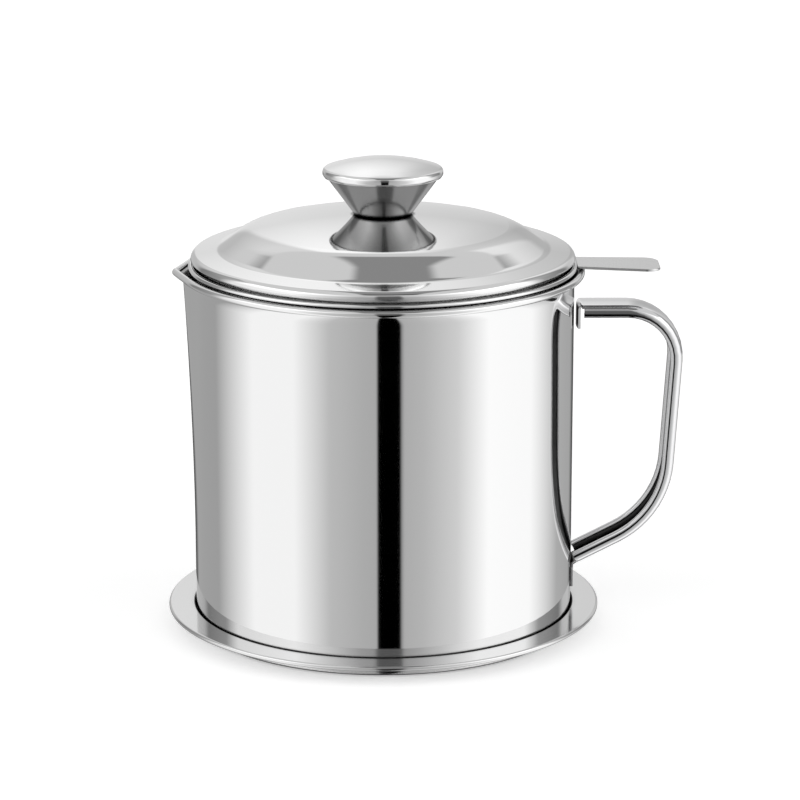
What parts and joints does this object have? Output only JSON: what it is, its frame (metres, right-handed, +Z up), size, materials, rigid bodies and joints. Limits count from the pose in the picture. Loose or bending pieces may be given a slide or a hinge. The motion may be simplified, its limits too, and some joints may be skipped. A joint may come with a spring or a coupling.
{
  "type": "bacon grease container",
  "caption": "Straight-sided pouring pot with a loop handle on a saucer, a lift-out mesh strainer with a finger tab, and a domed lid with a conical knob.",
  "frame": {"origin": "centre of the saucer's flat underside, on the pot's axis", "axes": "+Z up along the pot's axis; +X towards the handle and the strainer's tab, so the spout points to -X"},
  "size_m": [0.1698, 0.1432, 0.155],
  "materials": {
    "mirror_steel": "mirror polished stainless steel",
    "satin_steel": "satin turned stainless steel",
    "woven_steel": "woven stainless wire"
  },
  "bodies": {
    "base": {"saucer": "mirror_steel"},
    "pot": {"pot_body": "mirror_steel", "pot_handle": "mirror_steel"},
    "strainer": {"strainer_cup": "mirror_steel", "strainer_mesh": "woven_steel", "mesh_retaining_ring": "mirror_steel", "strainer_tab": "satin_steel"},
    "lid": {"lid_shell": "mirror_steel", "lid_skirt": "mirror_steel", "knob_cone": "satin_steel", "knob_cap": "mirror_steel", "knob_insert": "satin_steel", "knob_screw": "satin_steel", "knob_washer": "satin_steel"}
  },
  "joints": [
    {"name": "pot_lift", "type": "slide", "parent": "base", "child": "pot", "axis": [0, 0, 1], "range_m": [0, 0.04]},
    {"name": "strainer_lift", "type": "slide", "parent": "pot", "child": "strainer", "axis": [0, 0, 1], "range_m": [0, 0.06]},
    {"name": "lid_lift", "type": "slide", "parent": "strainer", "child": "lid", "axis": [0, 0, 1], "range_m": [0, 0.06]}
  ]
}
